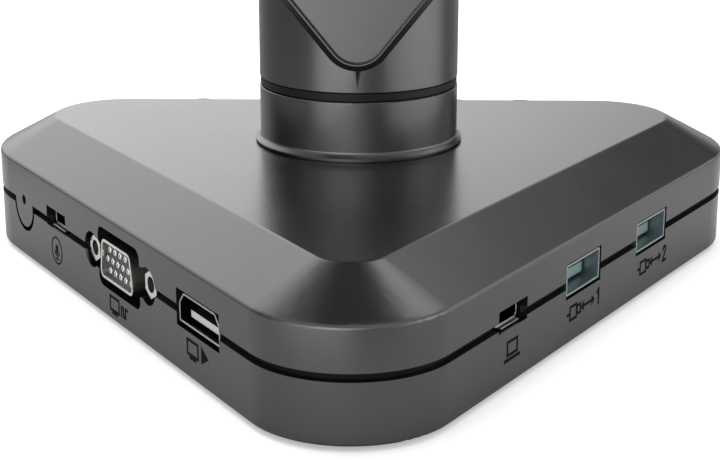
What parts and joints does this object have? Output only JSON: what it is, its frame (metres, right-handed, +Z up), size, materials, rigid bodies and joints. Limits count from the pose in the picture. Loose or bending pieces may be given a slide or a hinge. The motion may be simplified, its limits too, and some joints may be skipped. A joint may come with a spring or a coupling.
{
  "type": "document camera",
  "caption": "Desk document camera: low triangular socket base, swivelling column, folding arm and tilting camera head with lens and lamp.",
  "frame": {"origin": "where the column's axis meets the desk, under the base", "axes": "+Z up, +Y to the front where the arm reaches over the document, -Y to the rear corner between the two socket faces, +X to the right seen from the rear"},
  "size_m": [0.1518, 0.3304, 0.2975],
  "materials": {
    "graphite_paint": "satin metallic graphite paint on a moulded casing",
    "panel_paint": "matt metallic graphite paint",
    "dark_plastic": "fine matt",
    "black_plastic": "moulded, matt",
    "plated_steel": "nickel plated",
    "socket_steel": "drawn, tin plated",
    "steel": "zinc plated",
    "cast_alloy": "die cast, graphite paint",
    "contact_metal": "plated",
    "pale_plastic": "moulded",
    "board": "solder-masked glass laminate",
    "acetal": "turned",
    "rubber": "moulded",
    "lens_glass": "coated optical glass",
    "diffuser": "opal",
    "button_plastic": "satin gloss"
  },
  "bodies": {
    "base": {"base_top_cover": "graphite_paint", "base_bottom_cover": "graphite_paint", "base_weight_plate": "steel", "inner_screws": "steel", "case_screws": "steel", "rubber_feet": "rubber", "main_board": "board", "analog_video_shell": "plated_steel", "analog_video_insert": "black_plastic", "analog_video_contacts": "contact_metal", "analog_video_jack_nuts": "plated_steel", "digital_video_shell": "socket_steel", "digital_video_tongue": "pale_plastic", "type_a_shells": "socket_steel", "type_a_tongues": "pale_plastic", "audio_socket_shell": "socket_steel", "audio_socket_tongue": "black_plastic", "computer_socket_shell": "socket_steel", "computer_socket_tongue": "black_plastic", "microphone_capsule": "steel", "key_board": "board", "key_switches": "black_plastic", "collar": "graphite_paint", "swivel_ring": "dark_plastic", "swivel_bush": "acetal", "column_plate": "steel", "collar_screws": "steel"},
    "post": {"post_shell": "graphite_paint", "rear_panel": "panel_paint", "post_core": "steel", "elbow_bracket": "steel", "swivel_shaft": "steel", "swivel_washer": "steel", "swivel_nut": "steel", "hub_screws": "steel", "elbow_pin": "steel", "elbow_washers": "acetal", "elbow_caps": "dark_plastic"},
    "arm": {"arm_core": "cast_alloy", "arm_upper_cover": "graphite_paint", "arm_lower_shell": "graphite_paint", "arm_screws": "steel", "tilt_pin": "steel", "tilt_washers": "acetal"},
    "head": {"head_frame": "cast_alloy", "head_upper_shell": "graphite_paint", "head_lower_shell": "graphite_paint", "head_screws": "steel", "sensor_board": "board", "lens_barrel": "black_plastic", "lens_glass": "lens_glass", "lens_bezel": "plated_steel", "light_board": "board", "light_diffuser": "diffuser"},
    "key_power": {"button_power": "button_plastic"},
    "key_source": {"button_source": "button_plastic"},
    "key_zoom_out": {"button_zoom_out": "button_plastic"},
    "key_zoom_in": {"button_zoom_in": "button_plastic"},
    "key_focus": {"button_focus": "button_plastic"},
    "key_light": {"button_light": "button_plastic"}
  },
  "joints": [
    {"name": "column_swivel", "type": "hinge", "parent": "base", "child": "post", "pos_m": [0, 0, 0.0385], "axis": [0, 0, 1], "range_deg": [-90, 90]},
    {"name": "elbow_fold", "type": "hinge", "parent": "post", "child": "arm", "pos_m": [0, 0.018, 0.285], "axis": [1, 0, 0], "range_deg": [-90, 60]},
    {"name": "head_tilt", "type": "hinge", "parent": "arm", "child": "head", "pos_m": [0, 0.168, 0.285], "axis": [1, 0, 0], "range_deg": [0, 90]},
    {"name": "power_press", "type": "slide", "parent": "base", "child": "key_power", "axis": [0, 0.4741, 0.8805], "range_m": [-0.0008, 0], "stiffness_N_per_m": 1500},
    {"name": "source_press", "type": "slide", "parent": "base", "child": "key_source", "axis": [0, 0.4741, 0.8805], "range_m": [-0.0008, 0], "stiffness_N_per_m": 1500},
    {"name": "zoom_out_press", "type": "slide", "parent": "base", "child": "key_zoom_out", "axis": [0, 0.4741, 0.8805], "range_m": [-0.0008, 0], "stiffness_N_per_m": 1500},
    {"name": "zoom_in_press", "type": "slide", "parent": "base", "child": "key_zoom_in", "axis": [0, 0.4741, 0.8805], "range_m": [-0.0008, 0], "stiffness_N_per_m": 1500},
    {"name": "focus_press", "type": "slide", "parent": "base", "child": "key_focus", "axis": [0, 0.4741, 0.8805], "range_m": [-0.0008, 0], "stiffness_N_per_m": 1500},
    {"name": "light_press", "type": "slide", "parent": "base", "child": "key_light", "axis": [0, 0.4741, 0.8805], "range_m": [-0.0008, 0], "stiffness_N_per_m": 1500}
  ]
}
